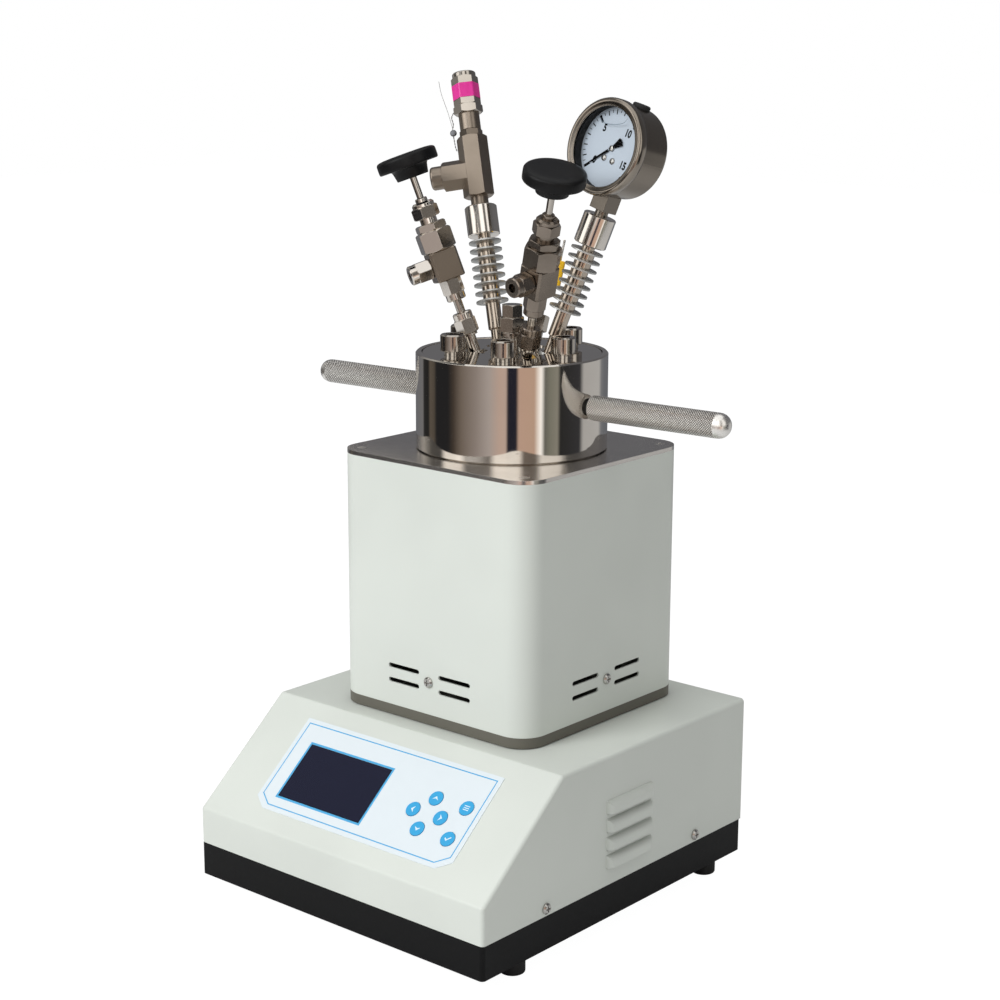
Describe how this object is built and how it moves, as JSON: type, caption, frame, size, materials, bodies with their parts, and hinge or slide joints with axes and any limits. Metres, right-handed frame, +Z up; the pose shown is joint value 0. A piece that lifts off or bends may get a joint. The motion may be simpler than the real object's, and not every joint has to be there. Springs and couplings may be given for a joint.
{
  "type": "hydrothermal reactor",
  "caption": "Bench-top heated pressure vessel with sloped keypad, needle valves, relief valve, dial gauge and temperature probe over a square tower.",
  "frame": {"origin": "centre of the footprint at bench level", "axes": "+Z up, -Y towards the sloped control panel, +X to the right as seen from the panel side"},
  "size_m": [0.372, 0.299, 0.5923],
  "materials": {
    "black_coat": "semi-matt black powder coat",
    "black_paint": "matt black",
    "black_plastic": "moulded black",
    "board": "circuit board",
    "dial": "printed dial",
    "fibre": "fibre insulation",
    "film": "printed film",
    "jacket": "cast aluminium heater",
    "key": "blue keys",
    "magnet": "machined",
    "motor": "satin",
    "plate_grey": "grey-brown coat",
    "polished": "polished stainless steel",
    "ptfe": "white ptfe",
    "rubber": "matt",
    "screen": "dark display behind clear plastic",
    "seal": "ptfe seal",
    "steel": "turned stainless steel",
    "steel_screw": "bright",
    "white_coat": "fine smooth off-white powder coat",
    "window": "clear",
    "yellow": "moulded yellow"
  },
  "bodies": {
    "reactor": {"base_tray": "black_coat", "base_cover": "white_coat", "rear_panel": "black_coat", "rubber_feet": "rubber", "casing_screws": "steel_screw", "control_overlay": "film", "display_screen": "screen", "control_board": "board", "stir_motor": "motor", "power_inlet": "black_plastic", "tower_shell": "white_coat", "tower_base_plate": "plate_grey", "tower_top_plate": "polished", "top_plate_screws": "steel_screw", "insulation": "fibre", "heater_jacket": "jacket", "vessel_seat": "steel", "vessel_body": "polished", "vessel_lid": "polished", "lid_seal": "seal", "lid_bolts": "steel", "handles": "steel", "liner": "ptfe", "port_glands": "steel", "tube_nuts": "steel", "riser_tubes": "steel", "valve_bodies": "steel", "union_nuts": "steel", "valve_bonnets": "steel", "packing_nuts": "steel", "relief_body": "steel", "relief_cap": "steel", "seal_wire": "steel_screw", "cooling_stems": "steel", "stem_couplings": "steel", "gauge_case": "steel", "gauge_bezel": "polished", "gauge_window": "window", "gauge_dial": "dial", "gauge_plug": "rubber", "thermowell_fitting": "steel", "thermocouple": "steel", "sensor_connector": "yellow"},
    "valve_a_lift": {"valve_a_needle": "steel"},
    "valve_a_spindle": {"valve_a_stem": "steel", "valve_a_handwheel": "black_plastic"},
    "valve_b_lift": {"valve_b_needle": "steel"},
    "valve_b_spindle": {"valve_b_stem": "steel", "valve_b_handwheel": "black_plastic"},
    "pointer": {"gauge_pointer": "black_paint"},
    "magnet_drive": {"magnet_rotor": "magnet"},
    "stirrer": {"stir_bar": "ptfe"},
    "mains_switch": {"switch_rocker": "black_plastic"},
    "key_up_button": {"key_up": "key"},
    "key_down_button": {"key_down": "key"},
    "key_left_button": {"key_left": "key"},
    "key_right_button": {"key_right": "key"},
    "key_set_button": {"key_set": "key"},
    "key_ok_button": {"key_ok": "key"}
  },
  "joints": [
    {"name": "valve_a_lift", "type": "slide", "parent": "reactor", "child": "valve_a_lift", "axis": [-0.2885, -0.1838, 0.9397], "range_m": [0, 0.005]},
    {"name": "valve_a_turn", "type": "hinge", "parent": "valve_a_lift", "child": "valve_a_spindle", "pos_m": [-0.04729, 0.00987, 0.47437], "axis": [-0.2885, -0.1838, 0.9397], "range_deg": [0, 1800]},
    {"name": "valve_b_lift", "type": "slide", "parent": "reactor", "child": "valve_b_lift", "axis": [0.3034, -0.1579, 0.9397], "range_m": [0, 0.005]},
    {"name": "valve_b_turn", "type": "hinge", "parent": "valve_b_lift", "child": "valve_b_spindle", "pos_m": [0.04974, 0.01411, 0.47437], "axis": [0.3034, -0.1579, 0.9397], "range_deg": [0, 1800]},
    {"name": "pointer_turn", "type": "hinge", "parent": "reactor", "child": "pointer", "pos_m": [0.06693, 0.08264, 0.53837], "axis": [0.077, 0.9738, -0.2141], "range_deg": [0, 270], "stiffness_Nm_per_rad": 0.00002, "springref_deg": -11.46},
    {"name": "magnet_drive_spin", "type": "hinge", "parent": "reactor", "child": "magnet_drive", "pos_m": [0, 0.04, 0.17], "axis": [0, 0, 1], "continuous": true},
    {"name": "stirrer_spin", "type": "hinge", "parent": "reactor", "child": "stirrer", "pos_m": [0, 0.04, 0.2171], "axis": [0, 0, 1], "continuous": true},
    {"name": "mains_switch_tilt", "type": "hinge", "parent": "reactor", "child": "mains_switch", "pos_m": [0.088, 0.1465, 0.0835], "axis": [1, 0, 0], "range_deg": [0, 18]},
    {"name": "key_up_press", "type": "slide", "parent": "reactor", "child": "key_up_button", "axis": [0, 0.6416, -0.767], "range_m": [0, 0.0004], "stiffness_N_per_m": 600, "springref_m": -0.0003},
    {"name": "key_down_press", "type": "slide", "parent": "reactor", "child": "key_down_button", "axis": [0, 0.6416, -0.767], "range_m": [0, 0.0004], "stiffness_N_per_m": 600, "springref_m": -0.0003},
    {"name": "key_left_press", "type": "slide", "parent": "reactor", "child": "key_left_button", "axis": [0, 0.6416, -0.767], "range_m": [0, 0.0004], "stiffness_N_per_m": 600, "springref_m": -0.0003},
    {"name": "key_right_press", "type": "slide", "parent": "reactor", "child": "key_right_button", "axis": [0, 0.6416, -0.767], "range_m": [0, 0.0004], "stiffness_N_per_m": 600, "springref_m": -0.0003},
    {"name": "key_set_press", "type": "slide", "parent": "reactor", "child": "key_set_button", "axis": [0, 0.6416, -0.767], "range_m": [0, 0.0004], "stiffness_N_per_m": 600, "springref_m": -0.0003},
    {"name": "key_ok_press", "type": "slide", "parent": "reactor", "child": "key_ok_button", "axis": [0, 0.6416, -0.767], "range_m": [0, 0.0004], "stiffness_N_per_m": 600, "springref_m": -0.0003}
  ],
  "couplings": [
    {"joint": "valve_a_lift", "follows": "valve_a_turn", "m_per_rad": 0.00015915},
    {"joint": "valve_b_lift", "follows": "valve_b_turn", "m_per_rad": 0.00015915},
    {"joint": "stirrer_spin", "follows": "magnet_drive_spin", "ratio": 1}
  ]
}
